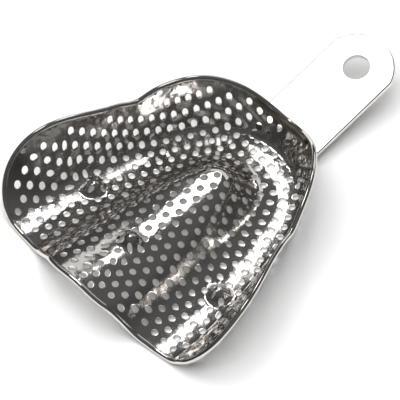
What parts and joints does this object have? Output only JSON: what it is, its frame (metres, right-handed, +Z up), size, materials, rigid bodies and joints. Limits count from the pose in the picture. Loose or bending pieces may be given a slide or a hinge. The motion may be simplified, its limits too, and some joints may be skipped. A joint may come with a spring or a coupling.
{
  "type": "impression tray",
  "caption": "Perforated metal upper impression tray: a pressed trough and palate with a wire rim, domed spacers and a flat handle with a hanging hole.",
  "frame": {"origin": "centre of the whole object's footprint, on the surface it lies on", "axes": "+Z up out of the impression side, -Y towards the handle's tip, X across the arch"},
  "size_m": [0.0674, 0.0948, 0.0159],
  "materials": {
    "bright_nickel_sheet": "bright nickel plate, slightly rippled by pressing",
    "polished_rim_wire": "polished nickel plate",
    "polished_handle": "polished nickel plate with fine rolling lines",
    "silver_braze": "plated braze, satin"
  },
  "bodies": {
    "root": {"tray_shell": "bright_nickel_sheet", "rim_wire": "polished_rim_wire", "handle": "polished_handle", "handle_braze": "silver_braze", "rim_braze": "silver_braze"}
  },
  "joints": []
}
